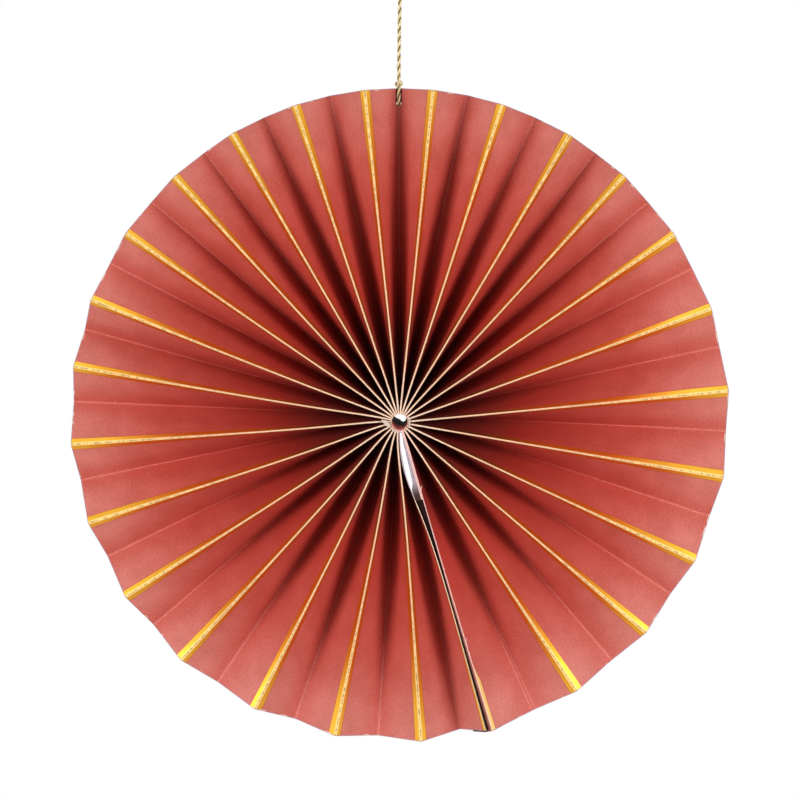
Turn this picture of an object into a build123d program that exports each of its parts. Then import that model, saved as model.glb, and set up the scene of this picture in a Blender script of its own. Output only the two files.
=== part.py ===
from build123d import *
import math
import os

# A hanging pleated fan. The origin is the middle of the fan, +Z is up along the cord,
# the printed face looks towards -Y, and its reverse towards +Y.

# Driving dimensions, in millimetres
fan_radius = 150.0
paper_thickness = 0.3
# How deep the widest pleat still is at the rim
rim_depth = 8.6
# The hole that the crowded card leaves at the hub
hub_radius = 3.7
# The bend of a fold, at the middle of the card's thickness
fold_radius = 0.4
# How far the free end on the left bulges away from the seam, and where it does so most
wedge_width = 2.9
wedge_peak = 25.0
# How far the free end on the right stands forward at the rim
lifted_end = 3.0

tape_thickness = 0.2
# Where the tape lies on the reverse, measured from each free end of the strip
tape_from_left_end = 1.4
tape_on_left_end = 8.0
tape_from_right_end = 0.35
tape_on_right_end = 5.0
# How far the tape sticks out past the rim
tape_past_rim = 1.0

thread_diameter = 0.5
# The thread's ring, outside the hub's hole and behind the crests of the folds
thread_inset = 0.9
thread_behind_crest = 1.1
# The thread's knotted tail lies in front of the folds and points outwards
tail_thickness = 1.7
tail_out = 3.5
tail_clearance = 0.3

cord_diameter = 1.9
cord_clearance = 0.15
cord_hole_radius = 1.35
# From the rim down to the middle of the punched hole
cord_hole_inset = 6.9
# The knots are a little narrower than they are deep, because two legs enter side by side
knot_above_rim = 0.2
knot_width = 4.0
knot_depth = 5.6
knot_height = 3.4
knot_rounding = 1.3
# The cord's free length between its two knots, its lean to the right and its bow
cord_rise = 44.0
cord_lean = 0.7
cord_bow = 0.25
# The loop at the top, to the middle of the cord
top_loop_width = 12.0
top_loop_height = 17.0

# The ridge folds, in degrees clockwise from the top of the fan as seen from the front,
# beginning with the first one past the seam
ridge_angles = (
    176.2, 191.5, 206.5, 222.2, 237.1, 251.7, 265.9, 279.6, 291.6, 304.7, 317.6, 330, 341.8,
    354, 365.7, 377.8, 390.5, 402.2, 415.6, 430, 444.7, 459.9, 475.5, 490.9, 507,
)
# The same folds where they meet the hub
ridge_hub_angles = (
    191, 204.5, 219, 233.5, 248, 262, 275, 286.5, 297, 309.5, 321.5, 332.5, 343,
    353.5, 364, 375, 386.5, 398.5, 413, 429, 444.5, 460, 475.5, 491.5, 507.5,
)
# The strip's two free ends at the rim and at the hub
left_end_angle = 164.5
right_end_angle = 523.5
left_end_hub_angle = 178.5
right_end_hub_angle = 518.5
# Away from the hub the first valley stands nearer to the free end than to the first ridge
end_valley_share = 0.4
end_valley_hub_share = 0.5

# How far out the rings of facets stand, from the hub's edge to the rim
ring_shares = (0, 0.045, 0.095, 0.155, 0.22, 0.35, 0.5, 0.65, 0.78, 0.9, 1)
# The taped stretch begins at this ring
first_taped_ring = 4
# The thread's outline has this many sides
thread_sides = 6
# The fold whose crest the thread's tail comes through, and the angle that the tail points to
tail_ridge = 4
tail_angle = 281.0
# The tail's lumpy outline: how far along it, and how thick there
tail_outline_shares = (
    (0, 0), (0, 0.6), (0.1, 0.85), (0.24, 0.9), (0.36, 0.65), (0.48, 0.95), (0.6, 1),
    (0.7, 0.75), (0.8, 0.95), (0.92, 0.8), (1, 0.4), (1, 0),
)
# The fold to the left of the valley that the fan hangs by
hanging_ridge_angle = 354
# The loop at the top of the cord, from its left leg round to its right one, as shares of
# half its width and of its height
top_loop_shares = (
    (-0.18, -0.1), (-0.3, 0.15), (-0.8, 0.4), (-1, 0.68), (-0.72, 0.93), (-0.25, 1.03),
    (0.25, 1.03), (0.72, 0.93), (1, 0.68), (0.8, 0.4), (0.3, 0.15), (0.18, -0.1),
)
# A corner of a cord's route is rounded by this share of its shorter run
corner_share = 0.45
# A fold never takes more than this share of its panel's span
fold_limit_share = 0.45
# The hub's crowded spacing gives way to the rim's own within this share of the radius
settling_share = 0.08

# Worked out from the sizes above
panel_count = 2 * len(ridge_angles) + 2
mean_step = 360 / panel_count
widest_step = max(b - a for a, b in zip(ridge_angles, ridge_angles[1:])) / 2


def span(radius, step):
    """The distance between two folds that stand step degrees apart."""
    return 2 * radius * math.sin(math.radians(step) / 2)


panel_width = math.hypot(span(fan_radius, widest_step), rim_depth)
ring_radii = [hub_radius + share * (fan_radius - hub_radius) for share in ring_shares]


def pleat_depth(radius, step):
    """How deep a pleat is where its ridge and its valley stand step degrees apart."""
    return math.sqrt(panel_width**2 - span(radius, step) ** 2)


def ridge_depth(radius):
    """Where the ridges stand, in front of the fan's middle."""
    return -pleat_depth(radius, mean_step) / 2


def settled(radius, hub_angle, rim_angle):
    """A fold's angle, which runs from its place round the hub to its place at the rim."""
    nearness = math.exp((hub_radius - radius) / (settling_share * fan_radius))
    return rim_angle + (hub_angle - rim_angle) * nearness


def left_bulge(radius):
    """How far the free end on the left swings aside, in degrees."""
    out = radius / wedge_peak
    return math.degrees(wedge_width * (out * math.exp(1 - out)) ** 3 / radius)


def fold_places(radius):
    """The angle and depth of every fold and of both free ends, in order round the fan."""
    front = ridge_depth(radius)
    left_end = settled(radius, left_end_hub_angle, left_end_angle) + left_bulge(radius)
    right_end = settled(radius, right_end_hub_angle, right_end_angle)
    ridges = [
        settled(radius, hub_angle, rim_angle)
        for hub_angle, rim_angle in zip(ridge_hub_angles, ridge_angles)
    ]
    valley_share = settled(radius, end_valley_hub_share, end_valley_share)
    first_valley = left_end + valley_share * (ridges[0] - left_end)
    last_valley = (ridges[-1] + right_end) / 2
    places = [(left_end, front)]
    places.append((first_valley, front + pleat_depth(radius, ridges[0] - first_valley)))
    for this_ridge, next_ridge in zip(ridges, ridges[1:]):
        half_step = (next_ridge - this_ridge) / 2
        places.append((this_ridge, front))
        places.append((this_ridge + half_step, front + pleat_depth(radius, half_step)))
    places.append((ridges[-1], front))
    places.append((last_valley, front + pleat_depth(radius, last_valley - ridges[-1])))
    places.append((right_end, front - lifted_end * (radius / fan_radius) ** 2))
    return places


def place(radius, angle, sideways, depth):
    """A point beside the radius at an angle: sideways runs clockwise, depth to the back."""
    turn = math.radians(angle)
    return Vector(
        radius * math.sin(turn) + sideways * math.cos(turn),
        depth,
        radius * math.cos(turn) - sideways * math.sin(turn),
    )


def panel_bend(radius, start, end):
    """The slope of a panel and the bend of its folds, from the places of its two folds."""
    across = span(radius, end[0] - start[0])
    deep = abs(end[1] - start[1])
    bend = min(fold_radius, fold_limit_share * across)
    slope = math.atan2(deep, across)
    for _ in range(8):
        rise = deep - 2 * bend * (1 - math.cos(slope))
        slope = math.atan2(rise, across - 2 * bend * math.sin(slope))
    return slope, bend


def bent_point(radius, fold, slope, bend, side, face, turn_share):
    """A point on a fold's bend. side is 1 where the panel follows the fold and -1 where it
    comes before it, and face is -1 on the printed face and 1 on the reverse."""
    angle, depth = fold[0], fold[1]
    inward = fold[2]
    reach = bend - inward * face * paper_thickness / 2
    turned = turn_share * slope
    sideways = side * reach * math.sin(turned)
    return place(radius, angle, sideways, depth + inward * (bend - reach * math.cos(turned)))


def sheet_row(radius, face):
    """The points of one face of the card at one radius, in order round the fan."""
    places = fold_places(radius)
    folds = [
        (angle, depth, 1 if number % 2 == 0 else -1)
        for number, (angle, depth) in enumerate(places)
    ]
    points = []
    for number, (start, end) in enumerate(zip(folds, folds[1:])):
        slope, bend = panel_bend(radius, start, end)
        leaving = bent_point(radius, start, slope, bend, 1, face, 1)
        arriving = bent_point(radius, end, slope, bend, -1, face, 1)
        if number == 0:
            points.append(end_point(radius, start, slope, 1, face))
            leaving = points[0]
            points += marks_on(leaving, arriving, tape_from_left_end, tape_on_left_end)
        else:
            points.append(bent_point(radius, start, slope, bend, 1, face, 0))
            points.append(leaving)
        if number == len(folds) - 2:
            arriving = end_point(radius, end, slope, -1, face)
            marks = marks_on(arriving, leaving, tape_from_right_end, tape_on_right_end)
            points += marks[::-1]
        points.append(arriving)
    return points


def end_point(radius, fold, slope, side, face):
    """A corner of the card's cut edge, square to the panel that ends there."""
    half = face * paper_thickness / 2
    return place(
        radius, fold[0], side * -half * math.sin(slope), fold[1] + half * math.cos(slope)
    )


def marks_on(start, end, first, width):
    """Two points on the way from start to end, for the near and far side of the tape."""
    along = (end - start).normalized()
    return [start + along * first, start + along * (first + width)]


def facets(first_line, second_line):
    """The strip of three-cornered facets between two lines of points."""
    strip = []
    for a, b, c, d in zip(first_line, second_line, second_line[1:], first_line[1:]):
        strip.append(Face(Wire.make_polygon([a, b, c], close=True)))
        strip.append(Face(Wire.make_polygon([a, c, d], close=True)))
    return strip


def thin_solid(rows_of_one_face, rows_of_the_other):
    """A sheet from rows of points on its two faces, closed all round its border."""
    shell = []
    for rows in (rows_of_one_face, rows_of_the_other):
        lines = list(zip(*rows))
        for first_line, second_line in zip(lines, lines[1:]):
            shell += facets(first_line, second_line)
    for row in (0, -1):
        shell += facets(rows_of_one_face[row], rows_of_the_other[row])
    for column in (0, -1):
        shell += facets(
            [points[column] for points in rows_of_one_face],
            [points[column] for points in rows_of_the_other],
        )
    return Solid(Shell(shell))


def route_radii(route):
    """The largest arc that each corner of a route leaves room for."""
    radii = []
    for before, corner, after in zip(route, route[1:], route[2:]):
        arriving, leaving = corner - before, after - corner
        half_turn = math.radians(arriving.get_angle(leaving)) / 2
        radii.append(corner_share * min(arriving.length, leaving.length) / math.tan(half_turn))
    return radii


def cord_along(name, route):
    """A plain round cord along a route of straight runs joined by arcs."""
    radii = route_radii(route)
    with BuildPart() as cord:
        with BuildLine() as path:
            FilletPolyline(*route, radius=radii)
        with BuildSketch(Plane(route[0], z_dir=path.line % 0)):
            Circle(cord_diameter / 2)
        sweep()
    cord.part.label = name
    length = path.wire().length
    ideal = math.pi * (cord_diameter / 2) ** 2 * length
    print(name, "radii", [round(radius, 1) for radius in radii])
    print(name, "length", round(length, 1), "of its own volume", cord.part.volume / ideal)
    return cord.part


def knot_round(name, bottom_middle, cords):
    """A rounded knot that stands on bottom_middle, with a seat for each cord's end."""
    with BuildPart() as knot:
        with BuildSketch(Plane(bottom_middle)):
            Ellipse(knot_width / 2, knot_depth / 2)
        extrude(amount=knot_height)
        fillet(knot.edges().group_by(Axis.Z)[0], knot_rounding)
        fillet(knot.edges().group_by(Axis.Z)[-1], knot_rounding)
        for cord in cords:
            add(cord, mode=Mode.SUBTRACT)
    knot.part.label = name
    return knot.part


# The binding thread, through needle holes close behind the crests, and its knotted tail
ring_radius = hub_radius + thread_inset
crest_depth = ridge_depth(ring_radius)
ring_depth = crest_depth + thread_behind_crest
tail_depth = crest_depth - paper_thickness / 2 - tail_clearance - tail_thickness / 2
leg_angle = settled(ring_radius, ridge_hub_angles[tail_ridge], ridge_angles[tail_ridge])
leg_foot = place(ring_radius, leg_angle, 0, ring_depth)
tail_start = place(ring_radius, leg_angle, 0, tail_depth)
tail_end = place(ring_radius + tail_out, tail_angle, 0, tail_depth)

with BuildPart() as threaded_path:
    with BuildSketch(Plane.XY):
        with Locations((ring_radius, ring_depth)):
            RegularPolygon(thread_diameter / 2, thread_sides)
    revolve(axis=Axis.Y)
    with BuildSketch(Plane(leg_foot, z_dir=(0, -1, 0))):
        RegularPolygon(thread_diameter / 2, thread_sides)
    extrude(amount=ring_depth - tail_depth)

tail_run = tail_end - tail_start
with BuildPart() as hub_thread:
    add(threaded_path.part)
    with BuildSketch(Plane(tail_start, x_dir=tail_run, z_dir=(0, 1, 0))):
        with BuildLine():
            Polyline(
                *[
                    (along * tail_run.length, thick * tail_thickness / 2)
                    for along, thick in tail_outline_shares
                ],
                close=True,
            )
        make_face()
    revolve(axis=Axis(tail_start, tail_run))
hub_thread.part.label = "hub_thread"

# The folded strip of card, in one piece, with its needle holes and its punched hole
top_valley = 2 * ridge_angles.index(hanging_ridge_angle) + 3
hole_out = fan_radius - cord_hole_inset
hole_places = fold_places(hole_out)
hole_angle, hole_depth = hole_places[top_valley]
hole_middle = place(hole_out, hole_angle, 0, hole_depth)

with BuildPart() as pleated_paper:
    fronts = [sheet_row(radius, -1) for radius in ring_radii]
    backs = [sheet_row(radius, 1) for radius in ring_radii]
    add(thin_solid(fronts, backs))
    with BuildSketch(Plane(hole_middle, z_dir=(0, 1, 0))):
        Circle(cord_hole_radius)
    extrude(amount=fold_radius + cord_diameter, both=True, mode=Mode.SUBTRACT)
    add(threaded_path.part, mode=Mode.SUBTRACT)
pleated_paper.part.label = "pleated_paper"

# The tape on the reverse, which bridges the seam from one free end of the strip to the other
taped_radii = ring_radii[first_taped_ring:] + [fan_radius + tape_past_rim]
stuck_rows = []
bare_rows = []
for radius in taped_radii:
    front = sheet_row(radius, -1)
    back = sheet_row(radius, 1)
    stuck = [back[column] for column in (-3, -2, 1, 2)]
    away = [(back[column] - front[column]).normalized() for column in (-3, -2, 1, 2)]
    stuck_rows.append(stuck)
    bare_rows.append([point + out * tape_thickness for point, out in zip(stuck, away)])

with BuildPart() as seam_tape:
    add(thin_solid(stuck_rows, bare_rows))
seam_tape.part.label = "seam_tape"

# The cord, which lies in the groove, turns back through the hole and is knotted at the rim
across = span(hole_out, hole_places[top_valley][0] - hole_places[top_valley - 1][0])
deep = hole_depth - hole_places[top_valley - 1][1]
groove_half_angle = math.atan2(across, deep)
off_the_card = paper_thickness / 2 + cord_diameter / 2 + cord_clearance
front_leg = hole_depth - off_the_card / math.sin(groove_half_angle)
back_leg = hole_depth + off_the_card
cord_depth = (front_leg + back_leg) / 2
cord_x = hole_middle.X
knot_bottom = fan_radius + knot_above_rim
knot_middle = knot_bottom + knot_height / 2
top_knot_bottom = knot_bottom + knot_height + cord_rise
top_knot_middle = top_knot_bottom + knot_height / 2
leg_top = knot_middle - cord_clearance

tie_loop = cord_along(
    "tie_loop",
    [
        Vector(cord_x, front_leg, leg_top),
        Vector(cord_x, front_leg, hole_middle.Z),
        Vector(cord_x, back_leg, hole_middle.Z),
        Vector(cord_x, back_leg, leg_top),
    ],
)
rise_start = knot_middle + cord_clearance
rise_end = top_knot_middle - cord_clearance
hanging_cord = cord_along(
    "hanging_cord",
    [
        Vector(cord_x, cord_depth, rise_start),
        Vector(cord_x + cord_lean / 2 - cord_bow, cord_depth, (rise_start + rise_end) / 2),
        Vector(cord_x + cord_lean, cord_depth, rise_end),
    ],
)
loop_x = cord_x + cord_lean
loop_foot = top_knot_bottom + knot_height
hanging_loop = cord_along(
    "hanging_loop",
    [
        Vector(
            loop_x + out * top_loop_width / 2,
            cord_depth,
            loop_foot + up * top_loop_height,
        )
        for out, up in top_loop_shares
    ],
)
tie_knot = knot_round(
    "tie_knot", (cord_x, cord_depth, knot_bottom), [tie_loop, hanging_cord]
)
top_knot = knot_round(
    "top_knot", (loop_x, cord_depth, top_knot_bottom), [hanging_cord, hanging_loop]
)

os.makedirs("parts", exist_ok=True)
for piece in (
    pleated_paper.part, seam_tape.part, hub_thread.part,
    tie_loop, tie_knot, hanging_cord, top_knot, hanging_loop,
):
    export_step(piece, f"parts/{piece.label}.step")
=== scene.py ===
import math

import bpy
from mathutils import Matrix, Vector, noise


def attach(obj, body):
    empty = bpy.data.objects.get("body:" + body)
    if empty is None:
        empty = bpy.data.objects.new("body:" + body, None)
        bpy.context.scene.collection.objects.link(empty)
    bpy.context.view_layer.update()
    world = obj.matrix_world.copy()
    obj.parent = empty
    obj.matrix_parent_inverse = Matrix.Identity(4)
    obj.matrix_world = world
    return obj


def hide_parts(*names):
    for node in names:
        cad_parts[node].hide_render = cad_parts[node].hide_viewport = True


# A hanging pleated fan of printed card, its sewn hub, its taped seam and its twisted cord.
# Lengths are in millimetres up to the point where a mesh or a curve is made.
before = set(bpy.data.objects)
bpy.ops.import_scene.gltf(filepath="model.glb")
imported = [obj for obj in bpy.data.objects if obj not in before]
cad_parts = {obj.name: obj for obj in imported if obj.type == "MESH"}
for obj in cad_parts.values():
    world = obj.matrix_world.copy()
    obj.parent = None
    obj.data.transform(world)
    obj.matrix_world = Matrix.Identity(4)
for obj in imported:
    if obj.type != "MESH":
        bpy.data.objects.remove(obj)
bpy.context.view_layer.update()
millimetre = 0.001
backwards = Vector((0, 1, 0))


def clamped(share):
    """A share held between none and all."""
    return min(1.0, max(0.0, share))


def interpolated(place, places, values):
    """The value at a place, on straight lines between the values given at some places."""
    for start, end, value, next_value in zip(places, places[1:], values, values[1:]):
        if place <= end:
            return value + (next_value - value) * (place - start) / (end - start)
    return values[-1]


# The sizes and laws of the folded card, as in the part's source
fan_radius = 150.0
paper_thickness = 0.3
rim_depth = 8.6
hub_radius = 3.7
fold_radius = 0.26
wedge_width = 2.9
wedge_peak = 25.0
lifted_end = 3.0
ridge_angles = (
    176.2, 191.5, 206.5, 222.2, 237.1, 251.7, 265.9, 279.6, 291.6, 304.7, 317.6, 330, 341.8,
    354, 365.7, 377.8, 390.5, 402.2, 415.6, 430, 444.7, 459.9, 475.5, 490.9, 507,
)
ridge_hub_angles = (
    191, 204.5, 219, 233.5, 248, 262, 275, 286.5, 297, 309.5, 321.5, 332.5, 343,
    353.5, 364, 375, 386.5, 398.5, 413, 429, 444.5, 460, 475.5, 491.5, 507.5,
)
left_end_angle = 164.5
right_end_angle = 523.5
left_end_hub_angle = 178.5
right_end_hub_angle = 518.5
end_valley_share = 0.4
end_valley_hub_share = 0.5
fold_limit_share = 0.45
settling_share = 0.08
hanging_ridge_angle = 354
# How often a panel's slope is worked out anew, to fit its bends
slope_rounds = 8

panel_count = 2 * len(ridge_angles) + 2
mean_step = 360 / panel_count
widest_step = max(b - a for a, b in zip(ridge_angles, ridge_angles[1:])) / 2


def span(radius, step):
    """The distance between two folds that stand step degrees apart."""
    return 2 * radius * math.sin(math.radians(step) / 2)


panel_width = math.hypot(span(fan_radius, widest_step), rim_depth)


def pleat_depth(radius, step):
    """How deep a pleat is where its ridge and its valley stand step degrees apart."""
    return math.sqrt(panel_width**2 - span(radius, step) ** 2)


def ridge_depth(radius):
    """Where the ridges stand, in front of the fan's middle."""
    return -pleat_depth(radius, mean_step) / 2


def settled(radius, hub_angle, rim_angle):
    """A fold's angle, which runs from its place round the hub to its place at the rim."""
    nearness = math.exp((hub_radius - radius) / (settling_share * fan_radius))
    return rim_angle + (hub_angle - rim_angle) * nearness


def left_bulge(radius):
    """How far the free end on the left swings aside, in degrees."""
    out = radius / wedge_peak
    return math.degrees(wedge_width * (out * math.exp(1 - out)) ** 3 / radius)


def fold_places(radius):
    """The angle and depth of every fold and of both free ends, in order round the fan."""
    front = ridge_depth(radius)
    left_end = settled(radius, left_end_hub_angle, left_end_angle) + left_bulge(radius)
    right_end = settled(radius, right_end_hub_angle, right_end_angle)
    ridges = [
        settled(radius, hub_angle, rim_angle)
        for hub_angle, rim_angle in zip(ridge_hub_angles, ridge_angles)
    ]
    valley_share = settled(radius, end_valley_hub_share, end_valley_share)
    first_valley = left_end + valley_share * (ridges[0] - left_end)
    last_valley = (ridges[-1] + right_end) / 2
    places = [(left_end, front)]
    places.append((first_valley, front + pleat_depth(radius, ridges[0] - first_valley)))
    for this_ridge, next_ridge in zip(ridges, ridges[1:]):
        half_step = (next_ridge - this_ridge) / 2
        places.append((this_ridge, front))
        places.append((this_ridge + half_step, front + pleat_depth(radius, half_step)))
    places.append((ridges[-1], front))
    places.append((last_valley, front + pleat_depth(radius, last_valley - ridges[-1])))
    places.append((right_end, front - lifted_end * (radius / fan_radius) ** 2))
    return places


def place(radius, angle, sideways, depth):
    """A point beside the radius at an angle: sideways runs clockwise, depth to the back."""
    turn = math.radians(angle)
    return Vector((
        radius * math.sin(turn) + sideways * math.cos(turn),
        depth,
        radius * math.cos(turn) - sideways * math.sin(turn),
    ))


def panel_bend(radius, start, end):
    """The slope of a panel and the bend of its folds, from the places of its two folds."""
    across = span(radius, end[0] - start[0])
    deep = abs(end[1] - start[1])
    bend = min(fold_radius, fold_limit_share * across)
    slope = math.atan2(deep, across)
    for _ in range(slope_rounds):
        rise = deep - 2 * bend * (1 - math.cos(slope))
        slope = math.atan2(rise, across - 2 * bend * math.sin(slope))
    return slope, bend


def bent_point(radius, fold, slope, bend, side, face, turn_share):
    """A point on a fold's bend. side is 1 where the panel follows the fold and -1 where it
    comes before it, and face is -1 on the printed face and 1 on the reverse."""
    angle, depth, inward = fold
    reach = bend - inward * face * paper_thickness / 2
    turned = turn_share * slope
    sideways = side * reach * math.sin(turned)
    return place(radius, angle, sideways, depth + inward * (bend - reach * math.cos(turned)))


def end_point(radius, fold, slope, side, face):
    """A corner of the card's cut edge, square to the panel that ends there."""
    half = face * paper_thickness / 2
    return place(radius, fold[0], side * -half * math.sin(slope), fold[1] + half * math.cos(slope))


# The finer mesh of the card: points round half a bend, points across a panel, and rings
bend_shares = (0, 1 / 3, 2 / 3, 1)
panel_shares = (0.08, 0.24, 0.42, 0.58, 0.76, 0.92)
ring_count = 56
ring_crowding = 1.35
# Round the hub the backs of the pleats crowd in closer than their fronts, most of all below
crowding_fades = 3.0
crowd_angles = (0, 90, 125, 150, 172, 230, 275, 360)
crowd_reaches = (0.9, 0.9, 0.3, 0.5, 2.2, 2.2, 1.1, 0.9)


def crowded_in(angle):
    """How far the backs of the pleats close in at an angle round the hub."""
    return interpolated(angle % 360, crowd_angles, crowd_reaches)


def card_row(radius, face):
    """The points of one face of the card at one radius, each with its distance along the
    strip, in order round the fan."""
    places = fold_places(radius)
    folds = [
        (angle, depth, 1 if number % 2 == 0 else -1)
        for number, (angle, depth) in enumerate(places)
    ]
    row = []
    for number, (start, end) in enumerate(zip(folds, folds[1:])):
        slope, bend = panel_bend(radius, start, end)
        first = number == 0
        last = number == len(folds) - 2
        line = []
        if first:
            line.append((end_point(radius, start, slope, 1, face), 0))
        else:
            for share in bend_shares:
                point = bent_point(radius, start, slope, bend, 1, face, share)
                line.append((point, share * slope * bend))
        if last:
            arriving = [(end_point(radius, end, slope, -1, face), 0)]
        else:
            arriving = [
                (bent_point(radius, end, slope, bend, -1, face, share), share * slope * bend)
                for share in bend_shares[::-1]
            ]
        leave_point, leave_at = line[-1]
        arrive_point, arrive_back = arriving[0]
        flat = (arrive_point - leave_point).length
        whole = leave_at + flat + arrive_back
        for share in panel_shares:
            line.append((leave_point.lerp(arrive_point, share), leave_at + share * flat))
        for point, back in arriving:
            line.append((point, whole - back))
        if not last:
            line = line[:-1]
        stretch = 1 if first or last else panel_width / whole
        for point, at in line:
            from_ridge = at * stretch if number % 2 == 0 else (whole - at) * stretch
            crowd = crowded_in(math.degrees(math.atan2(point.x, point.z)))
            crowd *= math.exp((hub_radius - radius) / crowding_fades)
            crowd *= clamped(from_ridge / panel_width) ** 2
            inwards = Vector((point.x, 0, point.z)).normalized() * crowd
            row.append((point - inwards, number * panel_width + at * stretch, from_ridge))
    return row


def smooth_noise(x, y, z):
    return noise.noise(Vector((x, y, z)))


def note(values, **given):
    """Add the named values of one more point to their lists."""
    for name, value in given.items():
        values.setdefault(name, []).append(value)


class Tree:
    """Short ways to build the nodes of a material or of the world."""

    def __init__(self, tree):
        self.tree = tree

    def put(self, socket, value):
        if isinstance(value, bpy.types.NodeSocket):
            self.tree.links.new(value, socket)
        elif isinstance(value, tuple) and len(value) == 3 and socket.type == "RGBA":
            socket.default_value = (*value, 1)
        else:
            socket.default_value = value

    def node(self, kind, inputs=(), output=0, **settings):
        """The output of a new node, whose inputs are named or in the node's order."""
        made = self.tree.nodes.new(kind)
        for name, value in settings.items():
            setattr(made, name, value)
        for key, value in inputs.items() if isinstance(inputs, dict) else enumerate(inputs):
            self.put(made.inputs[key], value)
        return made.outputs[output]

    def attribute(self, name, output="Fac"):
        return self.node("ShaderNodeAttribute", output=output, attribute_name=name)

    def flat(self):
        """Where a point lies once the card or the yarn is laid out flat."""
        return self.attribute("flat", "Vector")

    def math(self, operation, *values):
        return self.node("ShaderNodeMath", values, operation=operation)

    def times(self, first, second):
        return self.math("MULTIPLY", first, second)

    def minus(self, first, second):
        return self.math("SUBTRACT", first, second)

    def scaled(self, value, factor, added):
        return self.math("MULTIPLY_ADD", value, factor, added)

    def smooth(self, value, low, high, to_low=0.0, to_high=1.0):
        given = (value, low, high, to_low, to_high)
        return self.node("ShaderNodeMapRange", given, interpolation_type="SMOOTHSTEP")

    def mix(self, factor, first, second):
        return self.node("ShaderNodeMix", {0: factor, 6: first, 7: second}, 2, data_type="RGBA")

    def layers(self, colour, *others):
        """A colour with others laid over it in turn, each as far as its factor says."""
        for factor, over in others:
            colour = self.mix(factor, colour, over)
        return colour

    def noise(self, vector, scale, detail=3.0, roughness=0.55, stretch=None):
        if stretch:
            vector = self.node("ShaderNodeVectorMath", (vector, stretch), operation="MULTIPLY")
        given = {"Vector": vector, "Scale": scale, "Detail": detail, "Roughness": roughness}
        return self.node("ShaderNodeTexNoise", given, "Fac")

    def bump(self, height, strength, distance):
        given = {"Height": height, "Strength": strength, "Distance": distance * millimetre}
        return self.node("ShaderNodeBump", given, "Normal")

    def surface(self, colour, roughness, normal=None, specular=0.5, metallic=0.0):
        inputs = self.tree.nodes["Principled BSDF"].inputs
        self.put(inputs["Base Color"], colour)
        self.put(inputs["Roughness"], roughness)
        self.put(inputs["Specular IOR Level"], specular)
        self.put(inputs["Metallic"], metallic)
        if normal:
            self.put(inputs["Normal"], normal)


def material(name):
    """A new node material, and its tree."""
    made = bpy.data.materials.new(name)
    made.use_nodes = True
    return made, Tree(made.node_tree)


# How high the grain of the card, of the thinner papers and of the yarns stands
card_grain = 0.12
paper_grain = 0.1
yarn_grain = 0.2
# The foil stripe reaches this far to each side of its ridge, and its border wanders a little
stripe_half_width = 2.95
stripe_raggedness = 0.22
# The width of the pink tear along the curled edge, and how much it varies
torn_width = 0.75
torn_raggedness = 0.7


def red_print(t, flat, out, from_ridge, grain, near_rim):
    """Mottled red, with a painted sheen that makes it palest at the rim and painted shade that
    makes it darkest where the pleats crowd round the hub.
    """
    clouds = t.smooth(t.noise(flat, 0.07, 4), 0.3, 0.7)
    middle = t.mix(clouds, (0.43, 0.058, 0.039), (0.50, 0.081, 0.060))
    pale = t.mix(clouds, (0.49, 0.126, 0.096), (0.56, 0.163, 0.132))
    # Painted shade: darker towards the valleys, over the outer part of the fan
    deep = t.times(t.smooth(from_ridge, 9, 22, 0, 0.5), t.smooth(out, 60, 110))
    flecks = t.smooth(grain, 0.5, 0.72, 0, 0.34)
    specks = t.smooth(t.noise(flat, 1.5, 3, 0.6), 0.66, 0.74, 0, 0.5)
    # The valley's crease, where the print is worn to a faint broken line that wobbles
    from_valley = t.minus(panel_width, from_ridge)
    wander = t.scaled(t.noise(flat, 0.35, 3, stretch=(0, 1, 0)), 0.7, 0.05)
    crease = t.smooth(t.math("ABSOLUTE", t.minus(from_valley, wander)), 0.05, 0.30, 1, 0)
    broken = t.noise(flat, 1.2, 4, 0.7, stretch=(2.0, 0.5, 1.0))
    crease = t.times(crease, t.smooth(broken, 0.36, 0.60, 0.15, 0.9))
    # Painted shadow of the hanging cord, dark in the groove beside it
    painted_lighting = t.times(t.attribute("by_cord"), t.smooth(from_valley, 1.5, 2.6, 0.9, 0))
    return t.layers(
        # From painted shade, nearly black at the hub, out to the painted sheen that pales the rim
        (0.13, 0.006, 0.004),
        (t.smooth(out, 12, 70), (0.40, 0.030, 0.018)),
        (t.smooth(out, 50, 118), middle),
        (t.smooth(out, 104, 150), pale),
        (deep, (0.44, 0.045, 0.026)),
        (t.smooth(grain, 0.52, 0.36, 0, 0.30), (0.300, 0.024, 0.018)),
        (t.times(flecks, near_rim), (0.68, 0.21, 0.185)),
        (t.times(specks, near_rim), (0.80, 0.38, 0.34)),
        (t.times(crease, near_rim), (0.66, 0.25, 0.215)),
        (painted_lighting, (0.07, 0.008, 0.006)),
    )


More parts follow.
